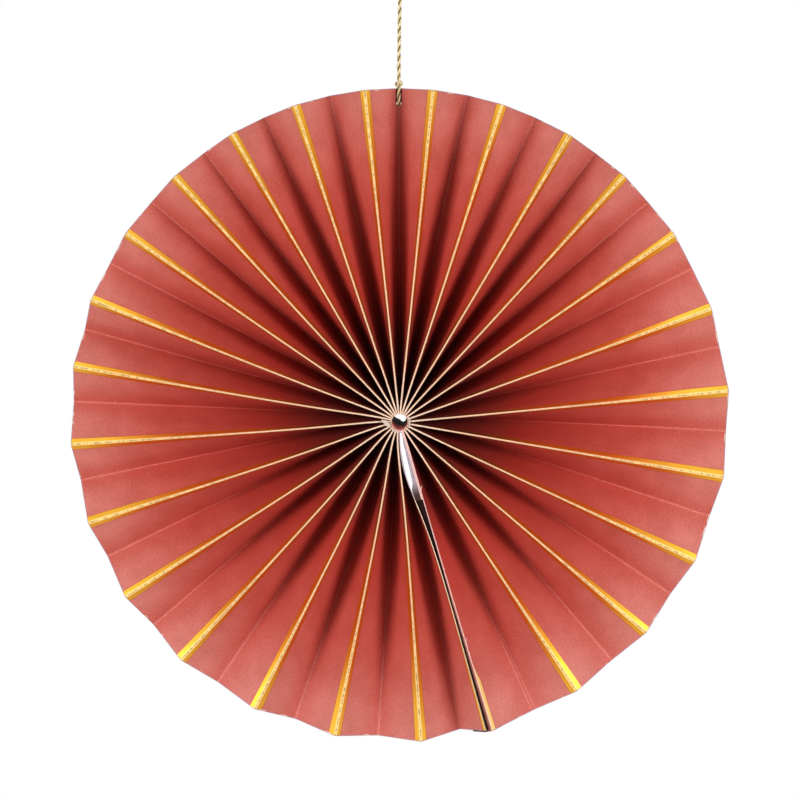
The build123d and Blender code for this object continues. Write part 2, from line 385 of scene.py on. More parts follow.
def gold_foil(t, flat, out, from_ridge, near_rim):
    """The colour of the foil with painted shade and a painted highlight, its crack, and where it
    has lost its shine: at the crack, at the worn cut end and under the painted highlight.
    """
    streaks = t.noise(flat, 1.0, 4, 0.6, stretch=(5.0, 0.10, 1.0))
    # Painted shade: the flanks that face down and to the right are a deeper orange,
    # least of all at the rim
    flank = t.smooth(t.attribute("flank"), -0.1, 0.5)
    flank = t.times(flank, t.smooth(out, 150, 115, 0.2, 0.9))
    # Painted shade: near the hub the foil beside the crest is dark brown
    painted_hub_shade = t.times(t.smooth(out, 70, 25), t.smooth(from_ridge, 0.38, 0.65))
    # Painted highlight: a pale band along the crest, with a fine broken crack along it
    painted_lighting = t.scaled(t.noise(flat, 1.0, 3, stretch=(3.0, 0.3, 1.0)), 0.7, 0.45)
    painted_lighting = t.times(painted_lighting, t.smooth(out, 50, 135, 0.38, 1))
    crest_highlight = t.smooth(t.minus(painted_lighting, from_ridge), -0.15, 0.15, 0, 0.85)
    cream = t.mix(t.smooth(out, 60, 140), (0.76, 0.53, 0.34), (0.90, 0.64, 0.24))
    cream = t.mix(t.smooth(out, 10, 32), (0.74, 0.60, 0.46), cream)
    beside = t.scaled(t.noise(flat, 0.15, 2, stretch=(0, 1, 0)), 0.3, -0.05)
    crack = t.smooth(t.math("ABSOLUTE", t.minus(from_ridge, beside)), 0.05, 0.17, 1, 0)
    dashes = t.noise(flat, 0.85, 4, 0.7, stretch=(0.3, 0.7, 1.0))
    crack = t.times(crack, t.smooth(dashes, 0.43, 0.57, 0, 0.72))
    crack = t.times(crack, near_rim)
    # Along the cut right end of the strip it is worn pale
    at_cut = t.smooth(t.attribute("from_end"), 2.6, 1.8, 0, 0.7)
    gold = t.layers(
        (0.68, 0.32, 0.018),
        (t.smooth(streaks, 0.35, 0.68), (0.76, 0.43, 0.034)),
        # Painted shade, with a painted reflection of the red card: a deeper orange farther in
        (t.smooth(out, 138, 92, 0, 0.90), (0.57, 0.082, 0.003)),
        (flank, (0.58, 0.095, 0.003)),
        (painted_hub_shade, (0.14, 0.035, 0.01)),
        (crest_highlight, cream),
        (crack, (0.14, 0.07, 0.015)),
        (at_cut, (0.70, 0.46, 0.17)),
    )
    bare_and_highlit = t.math("MAXIMUM", t.math("MAXIMUM", crack, at_cut), crest_highlight)
    return gold, crack, bare_and_highlit


def printed_card():
    made, t = material("printed_card")
    flat = t.flat()
    from_ridge = t.attribute("from_ridge")
    out = t.attribute("out")
    grain = t.noise(flat, 0.95, 6, 0.75)
    near_rim = t.smooth(out, 40, 130)
    red = red_print(t, flat, out, from_ridge, grain, near_rim)
    gold, crack, bare_and_highlit = gold_foil(t, flat, out, from_ridge, near_rim)
    # The foil stripe along each ridge, with a dark rim where the print overlaps it
    edge = t.scaled(t.noise(flat, 0.8, 3, stretch=(0, 1, 0)), stripe_raggedness, stripe_half_width)
    past = t.minus(edge, t.attribute("from_stripe"))
    stripe = t.smooth(past, -0.07, 0.07)
    border = t.smooth(t.math("ABSOLUTE", past), 0.05, 0.35, 0.6, 0)
    # The rim: here and there a pale sliver where the print has lifted, and a thin worn line
    depth_in = t.minus(fan_radius, out)
    slivers = t.noise(flat, 0.3, 3, stretch=(0.4, 0.3, 1.0))
    reach = t.smooth(slivers, 0.53, 0.63, -0.2, 0.6)
    lifted = t.smooth(t.minus(reach, depth_in), -0.08, 0.08)
    worn = t.smooth(depth_in, 0.25, 0.45, 0.85, 0)
    # The cut end of the strip, on its right
    frayed = t.scaled(t.noise(flat, 1.3, 4, 0.7, stretch=(0, 1, 0)), 1.1, -0.25)
    frayed = t.times(frayed, t.smooth(out, 30, 140, 1.3, 1))
    torn = t.smooth(t.minus(frayed, t.attribute("from_end")), -0.08, 0.08)
    colour = t.layers(
        red, (stripe, gold), (border, (0.42, 0.07, 0.008)), (lifted, (0.86, 0.60, 0.49)),
        (worn, (0.33, 0.22, 0.27)), (torn, (0.80, 0.52, 0.47)),
    )
    foil = t.times(stripe, t.minus(1.0, t.math("MAXIMUM", bare_and_highlit, worn)))
    height = t.scaled(grain, 0.7, t.times(crack, -0.5))
    t.surface(
        colour, t.smooth(foil, 0, 1, 0.62, 0.42), t.bump(height, 0.25, card_grain),
        specular=0.35, metallic=t.times(foil, 0.6),
    )
    return made


def plain_reverse():
    made, t = material("plain_reverse")
    flat = t.flat()
    from_ridge = t.attribute("from_ridge")
    clouds = t.noise(flat, 0.12, 4)
    fibres = t.noise(flat, 2.2, 5, 0.7, stretch=(1.0, 0.3, 1.0))
    at_fold = t.math("MINIMUM", from_ridge, t.minus(panel_width, from_ridge))
    broken = t.noise(flat, 0.9, 3, stretch=(1.0, 0.35, 1.0))
    crease = t.times(t.smooth(at_fold, 0.1, 0.45, 1, 0), t.smooth(broken, 0.3, 0.6, 0.2, 0.7))
    colour = t.layers(
        (0.82, 0.76, 0.73),
        (t.smooth(clouds, 0.3, 0.7), (0.88, 0.83, 0.81)),
        (t.smooth(fibres, 0.45, 0.75, 0, 0.4), (0.72, 0.62, 0.58)),
        (crease, (0.56, 0.42, 0.38)),
    )
    t.surface(colour, 0.88, t.bump(fibres, 0.3, card_grain), specular=0.3)
    return made


def cut_edge():
    """Grey pulp. Round the hub the print has bled over it, pink in front, and painted shade makes
    it nearly black behind. The free ends are cream on the left, and torn and pink on the right."""
    made, t = material("cut_edge")
    pulp = t.noise(t.flat(), 1.4, 5, 0.75)
    mottle = t.smooth(pulp, 0.35, 0.65)
    inner = t.layers(
        (0.80, 0.26, 0.23),
        (mottle, (1.0, 0.60, 0.55)),
        # Painted shade: nearly black towards the back, deep in the hub
        (t.smooth(t.attribute("from_ridge"), 10, 15), (0.012, 0.004, 0.004)),
    )
    colour = t.layers(
        (0.34, 0.22, 0.25),
        (mottle, (0.56, 0.43, 0.46)),
        (t.smooth(t.attribute("out"), 5, 4), inner),
        (t.attribute("left_end"), (0.84, 0.66, 0.46)),
        (t.smooth(t.attribute("from_end"), 1, 0.2), (0.80, 0.50, 0.45)),
    )
    t.surface(colour, 0.9, t.bump(pulp, 0.4, paper_grain), specular=0.08)
    return made


def tape_paper():
    """Pinkish paper with painted shade, near black towards the left free end, where it tucks in.
    """
    made, t = material("tape_paper")
    flat = t.flat()
    clouds = t.noise(flat, 0.25, 4)
    fibres = t.noise(flat, 1.6, 5, 0.7, stretch=(2.0, 0.4, 1.0))
    colour = t.layers(
        (0.33, 0.105, 0.08),
        (t.smooth(clouds, 0.3, 0.7), (0.42, 0.15, 0.115)),
        (t.smooth(fibres, 0.45, 0.75, 0, 0.45), (0.66, 0.36, 0.30)),
        # Painted shade where the tape tucks in behind the left free end
        (t.smooth(t.attribute("tucked"), 0.18, 0.52), (0.016, 0.004, 0.003)),
    )
    t.surface(colour, 0.7, t.bump(fibres, 0.3, paper_grain), specular=0.06)
    return made


def torn_lining():
    """The curled edge: a pink tear along it, then its reverse in painted shade, grey and nearly
    black farther out.
    """
    made, t = material("torn_lining")
    pulp = t.noise(t.flat(), 1.6, 5, 0.7, stretch=(2.0, 0.6, 1.0))
    mottle = t.smooth(pulp, 0.35, 0.65)
    pink = t.mix(mottle, (0.66, 0.36, 0.31), (0.88, 0.62, 0.56))
    # Painted shade: the pale reverse as grey, and nearly black farther out
    shaded = t.layers(
        (0.24, 0.17, 0.20),
        (mottle, (0.44, 0.36, 0.41)),
        (t.smooth(t.attribute("out"), 27, 35), (0.05, 0.025, 0.02)),
    )
    edge = t.scaled(pulp, torn_raggedness, torn_width - 0.4)
    past = t.smooth(t.minus(t.attribute("from_edge"), edge), -0.12, 0.12)
    t.surface(t.mix(past, pink, shaded), 0.9, t.bump(pulp, 0.4, paper_grain), specular=0.1)
    return made


def torn_fibre():
    made, t = material("torn_fibre")
    pulp = t.noise(t.flat(), 2.0, 3)
    t.surface(t.mix(pulp, (0.70, 0.45, 0.40), (0.90, 0.72, 0.68)), 0.9)
    return made


def yarn(name, dark, body, light, metallic, filament_scale):
    """Twisted yarn: fine filaments run along each ply, dark between them partly from their own
    colour and partly as painted shade. Some catch the light as painted glints, which are also
    smoother, and painted shade darkens the groove between the plies.
    """
    made, t = material(name)
    flat = t.flat()
    filaments = t.noise(flat, filament_scale, 4, 0.65, stretch=(1.0, 0.28, 1.0))
    glints = t.noise(flat, filament_scale * 1.7, 2, stretch=(1.6, 0.9, 1.0))
    colour = t.layers(
        dark,
        # Between the filaments: partly their own colour, partly painted shade
        (t.smooth(filaments, 0.34, 0.5), body),
        # Painted highlight: glints in the light colour
        (t.smooth(glints, 0.52, 0.68), light),
        # Painted shade where a ply faces the other one
        (t.smooth(t.attribute("inward"), -0.35, 0.25, 0, 0.9), dark),
    )
    roughness = t.smooth(glints, 0.4, 0.7, 0.6, 0.32)
    t.surface(colour, roughness, t.bump(filaments, 0.6, yarn_grain), metallic=metallic)
    return made


def placed(name, data):
    """A new object in the scene."""
    made = bpy.data.objects.new(name, data)
    bpy.context.scene.collection.objects.link(made)
    return made


def faced(made, direction):
    """Turn a camera or a light to look along a direction."""
    made.rotation_mode = "QUATERNION"
    made.rotation_quaternion = direction.to_track_quat("-Z", "Y")


crease_angle = math.radians(50)


def mesh_object(name, points, faces, attributes, materials, face_materials=None, creased=False):
    """A shaded mesh from points in millimetres, with its named values at the points."""
    mesh = bpy.data.meshes.new(name)
    mesh.from_pydata([point * millimetre for point in points], [], faces)
    for attribute_name, values in attributes.items():
        if isinstance(values[0], (float, int)):
            layer = mesh.attributes.new(attribute_name, "FLOAT", "POINT")
            layer.data.foreach_set("value", values)
        else:
            layer = mesh.attributes.new(attribute_name, "FLOAT_VECTOR", "POINT")
            layer.data.foreach_set("vector", [part for value in values for part in value])
    for each in materials:
        mesh.materials.append(each)
    if face_materials:
        mesh.polygons.foreach_set("material_index", face_materials)
    mesh.update()
    mesh.shade_smooth()
    if creased:
        mesh.set_sharp_from_angle(angle=crease_angle)
    return placed(name, mesh)


def sheet_faces(rows, columns, closed=False):
    """The faces of a thin sheet: a layer of rows of points, the layer behind it and the
    edges between them. A closed sheet's rows run round and end where they start."""
    layer = rows * columns
    faces = []
    for row in range(rows):
        for column in range(columns if closed else columns - 1):
            a = row * columns + column
            b = row * columns + (column + 1) % columns
            if row < rows - 1:
                faces.append((a, a + columns, b + columns, b))
                faces.append((layer + a, layer + b, layer + b + columns, layer + a + columns))
            if row == 0:
                faces.append((a, b, layer + b, layer + a))
            if row == rows - 1:
                faces.append((b, a, layer + a, layer + b))
    if not closed:
        for start in range(0, layer - columns, columns):
            end = start + columns
            faces.append((end, start, layer + start, layer + end))
            start, end = start + columns - 1, end + columns - 1
            faces.append((start, end, layer + end, layer + start))
    return faces


# The patterns on the two faces of the card, and of a sheet a millimetre thick, are taken
# this far from each other
face_pattern_shift = 50.0
sheet_pattern_shift = 40


def sheet_object(name, rows, lifts, sheet_material, closed=False):
    """A thin sheet from rows of points, each with the direction in which the sheet's layers
    are lifted off it, its two flat coordinates and its named values."""
    points, values = [], {}
    for lift in lifts:
        for row in rows:
            for point, away, (across, along), given in row:
                points.append(point + away * lift)
                note(values, flat=(across, along, lift * sheet_pattern_shift), **given)
    faces = sheet_faces(len(rows), len(rows[0]), closed)
    return mesh_object(name, points, faces, values, [sheet_material], creased=True)


# The camera
sensor_width = 36
lens = 106.2
camera_rise = math.radians(7.36)
camera_distance = 1079
# Where the hub lies in the picture, to the left of its middle and below it
hub_left, hub_below = 0.16, 8.69

looking = Vector((0, math.cos(camera_rise), -math.sin(camera_rise)))
upwards = Vector((0, math.sin(camera_rise), math.cos(camera_rise)))
aim = Vector((hub_left, 0, 0)) + upwards * hub_below
camera_data = bpy.data.cameras.new("camera")
camera_data.sensor_width = sensor_width
camera_data.lens = lens
camera = placed("camera", camera_data)
camera.location = (aim - looking * camera_distance) * millimetre
faced(camera, looking)
bpy.context.scene.camera = camera

# The cord
cord_diameter = 1.9
cord_clearance = 0.15
cord_hole_radius = 1.1
cord_hole_inset = 6.9
knot_above_rim = 0.2
knot_height = 3.4
cord_rise = 44.0
cord_lean = 0.7
cord_bow = 0.25
top_loop_width = 12.0
top_loop_height = 17.0
top_loop_shares = (
    (-0.18, -0.1), (-0.3, 0.15), (-0.8, 0.4), (-1, 0.68), (-0.72, 0.93), (-0.25, 1.03),
    (0.25, 1.03), (0.72, 0.93), (1, 0.68), (0.8, 0.4), (0.3, 0.15), (0.18, -0.1),
)
# One full turn of the twist takes this much cord, and its two plies lie side by side
cord_lay = 8.4
ply_share = 0.29
ply_offset_share = 0.215
ply_count = 2
# How tightly the filaments wind, how wide their pattern is, and how far apart the plies' lie
filament_lay_share = 0.6
pattern_radius = 3
ply_pattern_shift = 37
cord_step = 0.3
cord_sides = 12
tie_loop_sag = 0.5
route_resolution = 40

top_valley = 2 * ridge_angles.index(hanging_ridge_angle) + 3
hole_out = fan_radius - cord_hole_inset
hole_places = fold_places(hole_out)
hole_angle, hole_depth = hole_places[top_valley]
hole_middle = place(hole_out, hole_angle, 0, hole_depth)
across = span(hole_out, hole_places[top_valley][0] - hole_places[top_valley - 1][0])
deep = hole_depth - hole_places[top_valley - 1][1]
off_the_card = paper_thickness / 2 + cord_diameter / 2 + cord_clearance
front_leg = hole_depth - off_the_card / math.sin(math.atan2(across, deep))
back_leg = hole_depth + off_the_card
cord_depth = (front_leg + back_leg) / 2
cord_x = hole_middle.x
knot_bottom = fan_radius + knot_above_rim
knot_middle = knot_bottom + knot_height / 2
top_knot_bottom = knot_bottom + knot_height + cord_rise
top_knot_middle = top_knot_bottom + knot_height / 2
leg_top = knot_middle - cord_clearance
leg_gap = back_leg - front_leg
rise_start = knot_middle + cord_clearance
rise_end = top_knot_middle - cord_clearance
loop_x = cord_x + cord_lean
loop_foot = top_knot_bottom + knot_height


def line_through(name, route):
    """The points of the smooth line that a route's control points give."""
    curve = bpy.data.curves.new(name, "CURVE")
    curve.dimensions = "3D"
    curve.resolution_u = route_resolution
    spline = curve.splines.new("NURBS")
    spline.points.add(len(route) - 1)
    for point, corner in zip(spline.points, route):
        point.co = (*(Vector(corner) * millimetre), 1)
    spline.order_u = 3
    spline.use_endpoint_u = True
    holder = bpy.data.objects.new(name, curve)
    mesh = bpy.data.meshes.new_from_object(holder)
    line = [vertex.co / millimetre for vertex in mesh.vertices]
    bpy.data.objects.remove(holder)
    bpy.data.curves.remove(curve)
    bpy.data.meshes.remove(mesh)
    return line


def evenly(line, spacing):
    """Points at an even spacing along a line, with its two ends."""
    lengths = [0.0]
    for a, b in zip(line, line[1:]):
        lengths.append(lengths[-1] + (b - a).length)
    count = max(2, round(lengths[-1] / spacing))
    points = []
    stretch = 0
    for number in range(count + 1):
        wanted = lengths[-1] * number / count
        while stretch < len(line) - 2 and lengths[stretch + 1] < wanted:
            stretch += 1
        whole = lengths[stretch + 1] - lengths[stretch]
        share = (wanted - lengths[stretch]) / whole if whole else 0
        points.append(line[stretch].lerp(line[stretch + 1], min(1.0, share)))
    return points


def carried_frames(points):
    """A direction along the line at each point, and one across it that never twists."""
    alongs = []
    for number in range(len(points)):
        before = points[max(0, number - 1)]
        after = points[min(len(points) - 1, number + 1)]
        alongs.append((after - before).normalized())
    side = alongs[0].orthogonal().normalized()
    frames = []
    for number, along in enumerate(alongs):
        if number:
            side = alongs[number - 1].rotation_difference(along) @ side
        side = (side - along * side.dot(along)).normalized()
        frames.append((along, side))
    return frames


def ply_centres(line, offset, lay, start_turn):
    """Where one ply runs: its middle, its distance along, and its direction from the yarn's."""
    run = 0.0
    centres = []
    for at, (point, (along, side)) in enumerate(zip(line, carried_frames(line))):
        if at:
            run += (point - line[at - 1]).length
        turn = start_turn + 2 * math.pi * run / lay
        outwards = side * math.cos(turn) + along.cross(side) * math.sin(turn)
        centres.append((point + outwards * offset, run, outwards))
    return centres


def tube_faces(first, rings, sides):
    """The faces of a closed tube of rings, whose points start at first."""
    faces = []
    for ring in range(rings - 1):
        for corner in range(sides):
            a = first + ring * sides + corner
            b = first + ring * sides + (corner + 1) % sides
            faces.append((a, b, b + sides, a + sides))
    last = first + (rings - 1) * sides
    faces.append(tuple(range(first, first + sides))[::-1])
    faces.append(tuple(range(last, last + sides)))
    return faces


def yarn_object(name, lines, diameter, lay, sides, yarn_material, start_turn=0.0):
    """A mesh of yarn, plies twisted round each other, along each of some lines."""
    points, faces, values = [], [], {}
    for line in lines:
        for ply in range(ply_count):
            ply_turn = start_turn + 2 * math.pi * ply / ply_count
            centres = ply_centres(line, diameter * ply_offset_share, lay, ply_turn)
            faces += tube_faces(len(points), len(centres), sides)
            ply_frames = carried_frames([centre for centre, _, _ in centres])
            for (centre, run, outwards), (along, side) in zip(centres, ply_frames):
                other = along.cross(side)
                spin = 2 * math.pi * run / (lay * filament_lay_share)
                for corner in range(sides):
                    turn = 2 * math.pi * corner / sides
                    out = side * math.cos(turn) + other * math.sin(turn)
                    points.append(centre + out * diameter * ply_share)
                    across = pattern_radius * math.cos(turn + spin)
                    behind = pattern_radius * math.sin(turn + spin)
                    flat = (across, run + ply * ply_pattern_shift, behind)
                    note(values, flat=flat, inward=-out.dot(outwards))
    return mesh_object(name, points, faces, values, [yarn_material])


# Each yarn's colours: a dark one for painted shade, its body colour, and a light one for painted
# glints
cord_yarn = yarn(
    "cord_yarn", (0.07, 0.04, 0.012), (0.63, 0.50, 0.24), (0.94, 0.85, 0.56),
    metallic=0.4, filament_scale=3.0,
)
thread_yarn = yarn(
    "thread_yarn", (0.50, 0.35, 0.25), (0.88, 0.74, 0.62), (0.96, 0.89, 0.82),
    metallic=0.0, filament_scale=7.0,
)


def cord_piece(name, route, start_turn=0.0, diameter=cord_diameter):
    line = evenly(line_through(name, route), cord_step)
    made = yarn_object(
        name + "_twist", [line], diameter, cord_lay, cord_sides, cord_yarn, start_turn,
    )
    return made, line


tie_loop, _ = cord_piece("tie_loop", [
    (cord_x, front_leg, leg_top),
    (cord_x, front_leg, hole_middle.z + leg_gap),
    (cord_x, front_leg, hole_middle.z - tie_loop_sag),
    (cord_x, back_leg, hole_middle.z - tie_loop_sag),
    (cord_x, back_leg, hole_middle.z + leg_gap),
    (cord_x, back_leg, leg_top),
])
hanging_cord, cord_line = cord_piece("hanging_cord", [
    (cord_x, cord_depth, rise_start),
    (cord_x + cord_lean / 2 - cord_bow, cord_depth, (rise_start + rise_end) / 2),
    (cord_x + cord_lean, cord_depth, rise_end),
])
hanging_loop, _ = cord_piece("hanging_loop", [
    (loop_x + out * top_loop_width / 2, cord_depth, loop_foot + up * top_loop_height)
    for out, up in top_loop_shares
])

# A knot: the cord goes round the others a little over twice and crosses over itself
knot_turns = 2.3
knot_start_turn = -0.6 * math.pi
knot_half_width = 1.15
knot_half_depth = 1.9
knot_inset = 0.85
knot_tuck_share = 0.35
knot_tuck_power = 6
knot_tilt = 0.35
knot_tilt_turn = 0.8
knot_cord = 1.6
knot_twist_start = 1.0
knot_points = 26


def knot_piece(name, middle_x, bottom):
    route = []
    rise = knot_height - 2 * knot_inset
    for number in range(knot_points + 1):
        share = number / knot_points
        turn = 2 * math.pi * knot_turns * share + knot_start_turn
        tuck = 1 - knot_tuck_share * (2 * share - 1) ** knot_tuck_power
        tilt = knot_tilt * math.sin(turn + knot_tilt_turn)
        route.append((
            middle_x + knot_half_width * tuck * math.cos(turn),
            cord_depth + knot_half_depth * tuck * math.sin(turn),
            bottom + knot_inset + rise * share + tilt,
        ))
    made, _ = cord_piece(name, route, knot_twist_start, knot_cord)
    return made


tie_knot = knot_piece("tie_knot", cord_x, knot_bottom)
top_knot = knot_piece("top_knot", loop_x, top_knot_bottom)

for piece, node in (
    (tie_loop, "tie_loop"), (hanging_cord, "hanging_cord"), (hanging_loop, "hanging_loop"),
    (tie_knot, "tie_knot"), (top_knot, "top_knot"),
):
    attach(piece, "root")
    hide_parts(node)

# The folded card: its rings of points, with finer ones round the punched hole
rings_in_hole_radius = 3
hole_ring_reach = 4
ring_radii = [
    hub_radius + (fan_radius - hub_radius) * (number / ring_count) ** ring_crowding
    for number in range(ring_count + 1)
]
hole_rings = [
    hole_out + number * cord_hole_radius / rings_in_hole_radius
    for number in range(-hole_ring_reach, hole_ring_reach + 1)
]
ring_radii = [
    radius for radius in ring_radii
    if not hole_rings[0] - cord_hole_radius / 2 < radius < hole_rings[-1] + cord_hole_radius / 2
]
ring_radii = sorted(ring_radii + hole_rings)

front_rows = [card_row(radius, -1) for radius in ring_radii]
back_rows = [card_row(radius, 1) for radius in ring_radii]
columns = len(front_rows[0])
rows = len(ring_radii)

# How much of the stripe the cut has taken at the left free end, and at the right one at the
# rim and from there inwards, where that cut runs off the stripe. The other stripes wander a
# little to one side of their ridges.
left_cut = 1.2
right_cut = 1.0
right_cut_inside = 3.4
right_stripe_starts, right_stripe_full = 114, 126
stripe_wander = 1.1
stripe_wander_pace = 0.012
tape_start_share = 0.22
tape_start = hub_radius + tape_start_share * (fan_radius - hub_radius)


def stripe_offset(panels_along, radius):
    """How much farther from its stripe's middle a point lies than from its ridge."""
    if panels_along < 1:
        return left_cut
    if panels_along > panel_count - 1:
        share = (radius - right_stripe_starts) / (right_stripe_full - right_stripe_starts)
        return right_cut_inside + (right_cut - right_cut_inside) * clamped(share)
    ridge = round(panels_along / 2)
    side = 1 if panels_along > 2 * ridge else -1
    return side * stripe_wander * smooth_noise(ridge * 3.7, radius * stripe_wander_pace, 4.0)


# How much a flank that faces right and one that faces down lie in shade
shade_right = 0.25
shade_down = 0.97


def flank_shade(panels_along, point):
    """How far the flank that a point lies on faces down or to the right."""
    side = 1 if int(panels_along) % 2 == 0 else -1
    outwards = Vector((point.x, 0, point.z)).normalized()
    return side * (shade_right * outwards.z + shade_down * outwards.x)


points, card_values = [], {}
for face_number, face_rows in enumerate((front_rows, back_rows)):
    for radius, row in zip(ring_radii, face_rows):
        whole = row[-1][1]
        for point, at, from_ridge in row:
            panels_along = at / panel_width
            in_groove = abs(panels_along - top_valley) < 1
            points.append(point)
            note(
                card_values,
                flat=(at, radius, face_number * face_pattern_shift),
                from_ridge=from_ridge,
                out=radius,
                from_end=whole - at,
                from_stripe=from_ridge + stripe_offset(panels_along, radius),
                by_cord=float(in_groove and radius > hole_out - cord_hole_radius),
                left_end=float(at < paper_thickness and radius > tape_start),
                flank=flank_shade(panels_along, point),
            )


def vertex(face_number, row, column):
    return (face_number * rows + row) * columns + column


def cell(face_number, row, column):
    """The corners of a cell of one of the card's faces."""
    return (
        vertex(face_number, row, column), vertex(face_number, row, column + 1),
        vertex(face_number, row + 1, column + 1), vertex(face_number, row + 1, column),
    )


def near_hole(row, column):
    """Whether the middle of a cell of the card lies in the punched hole."""
    corners = [front_rows[r][c][0] for r in (row, row + 1) for c in (column, column + 1)]
    middle = sum(corners, Vector()) / 4
    return math.hypot(middle.x - hole_middle.x, middle.z - hole_middle.z) < cord_hole_radius


removed = set()
for row in range(rows - 1):
    if abs(ring_radii[row] - hole_out) < 2 * cord_hole_radius:
        for column in range(columns - 1):
            if near_hole(row, column):
                removed.add((row, column))

front_material, back_material, edge_material = range(3)
faces, face_materials = [], []
for row in range(rows - 1):
    for column in range(columns - 1):
        if (row, column) not in removed:
            faces += [cell(0, row, column), cell(1, row, column)[::-1]]
            face_materials += [front_material, back_material]

# The cut edges of the card, from point to point: the hub, the rim, both ends and the hole
edges = []
for column in range(columns - 1):
    edges.append(((0, column + 1), (0, column)))
    edges.append(((rows - 1, column), (rows - 1, column + 1)))
for row in range(rows - 1):
    edges.append(((row, 0), (row + 1, 0)))
    edges.append(((row + 1, columns - 1), (row, columns - 1)))
hole_border = set()
for row, column in removed:
    corners = ((row, column), (row, column + 1), (row + 1, column + 1), (row + 1, column))
    neighbours = ((row - 1, column), (row, column + 1), (row + 1, column), (row, column - 1))
    for neighbour, start, end in zip(neighbours, corners, corners[1:] + corners[:1]):
        if neighbour not in removed:
            hole_border.update((start, end))
            edges.append((end, start))
for start, end in edges:
    faces.append((vertex(0, *start), vertex(0, *end), vertex(1, *end), vertex(1, *start)))
    face_materials.append(edge_material)

# The border of the punched hole is drawn to a circle
hole_surround = 4.0


def on_card(x, z, face):
    """The point of one face of the card that lies at x and z near the hole."""
    row = card_row(math.hypot(x, z), face)
    near = [point for point, _, _ in row if abs(point.x - x) < hole_surround and point.z > 0]
    for a, b in zip(near, near[1:]):
        if a.x <= x <= b.x:
            return a.lerp(b, (x - a.x) / (b.x - a.x))
    return near[0]


for row, column in hole_border:
    for face_number, face in ((0, -1), (1, 1)):
        index = vertex(face_number, row, column)
        offset = Vector((points[index].x - hole_middle.x, points[index].z - hole_middle.z))
        offset = offset.normalized() * cord_hole_radius
        points[index] = on_card(hole_middle.x + offset.x, hole_middle.z + offset.y, face)

card_edge = cut_edge()
card = mesh_object(
    "folded_card", points, faces, card_values, [printed_card(), plain_reverse(), card_edge],
    face_materials, creased=True,
)
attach(card, "root")
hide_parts("pleated_paper")

# Round the hub the crushed card closes the gaps between its pleats, in the cut edge's colour,
# with painted shade that makes it nearly black towards the back
lining_thickness = 0.2
lining_behind_edges = 0.1
lining_inset = 0.4
lining_sides = 96
lining_steps = 24
lining_creases = 0.12
lining_crease_pace = 0.9
lining_pattern_step = 0.24

lining_front = ridge_depth(hub_radius) + lining_inset
lining_deep = -2 * lining_front


def lining_ring(back_share):
    """A ring of the lining, as far back as its share says."""
    back = back_share * lining_deep
    given = {
        "from_ridge": back_share * panel_width, "out": hub_radius, "from_end": fan_radius,
        "left_end": 0.0,
    }
    ring = []
    for side in range(lining_sides):
        angle = 360 * side / lining_sides
        crushed = lining_creases * smooth_noise(side * lining_crease_pace, back_share * 2.0, 6.0)
        out = hub_radius + lining_behind_edges + crushed - crowded_in(angle) * back_share**2
        point = place(out, angle, 0, lining_front + back)
        ring.append((point, place(1, angle, 0, 0), (side * lining_pattern_step, back), given))
    return ring


lining_rings = [lining_ring(step / lining_steps) for step in range(lining_steps + 1)]
lining = sheet_object(
    "hub_lining", lining_rings, (0, lining_thickness), card_edge, closed=True,
)
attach(lining, "root")

# The tape on the reverse, from one free end of the strip to the other
tape_glue = 0.01
tape_thickness = 0.12
tape_from_left_end = 1.4
tape_on_left_end = 8.0
tape_from_right_end = 0.35
tape_on_right_end = 5.0
tape_past_rim = 0.8
tape_held_back = 0.75
tape_raggedness = 0.12
# Painted shade darkens the tape's start all across, and its end beyond the rim less
tape_start_dark = 0.55
tape_dark_until = 85.0
tape_dark_fades = 45.0
tape_end_dark = 0.34
tape_rows = 70
tape_shares = (0, 0.2, 0.4, 0.6, 0.8, 1)
tape_pattern_step = 1.2


def panel_line(radius, from_left_end):
    """The reverse's straight line across the end panel on the left or on the right."""
    front, back = card_row(radius, -1), card_row(radius, 1)
    last_of_panel = 1 + len(panel_shares)
    near, far = (0, last_of_panel) if from_left_end else (-1, -1 - last_of_panel)
    start, end = back[near][0], back[far][0]
    return start, (end - start).normalized(), (end - front[far][0]).normalized()


def tape_line(radius):
    """The tape's points across at a radius, each with its direction away from the card."""
    left, left_along, left_away = panel_line(radius, True)
    right, right_along, right_away = panel_line(radius, False)
    on_right = tape_on_right_end + tape_raggedness * smooth_noise(radius * 0.9, 0.5, 0)
    on_left = tape_on_left_end + tape_raggedness * smooth_noise(radius * 0.7, 7.5, 0)
    line = [
        (right + right_along * (tape_from_right_end + on_right * (1 - step)), right_away)
        for step in tape_shares
    ]
    if radius > fan_radius:
        held_back = (radius - fan_radius) * tape_held_back
        line = [(point.lerp(Vector(), held_back / radius), away) for point, away in line]
    near, far = line[-1][0], left + left_along * tape_from_left_end
    for step in tape_shares[1:-1]:
        line.append((near.lerp(far, step), right_away.lerp(left_away, step).normalized()))
    line += [
        (left + left_along * (tape_from_left_end + on_left * step), left_away)
        for step in tape_shares
    ]
    return line


def tape_painted_shade(radius, column):
    """How far the tape is darkened by painted shade: not at all on the right end and wholly on the
    left one.
    """
    in_gap = (column - len(tape_shares) + 1) / (len(tape_shares) - 1)
    in_gap += tape_start_dark * clamped((tape_dark_until - radius) / tape_dark_fades)
    if radius > fan_radius:
        in_gap = min(tape_end_dark, in_gap)
    return clamped(in_gap)


tape_lines = []
for number in range(tape_rows + 1):
    radius = tape_start + number / tape_rows * (fan_radius + tape_past_rim - tape_start)
    line = []
    for column, (point, away) in enumerate(tape_line(radius)):
        given = {"tucked": tape_painted_shade(radius, column)}
        line.append((point, away, (column * tape_pattern_step, radius), given))
    tape_lines.append(line)
tape = sheet_object("tape_strip", tape_lines, (tape_glue, tape_thickness), tape_paper())
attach(tape, "root")
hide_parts("seam_tape")

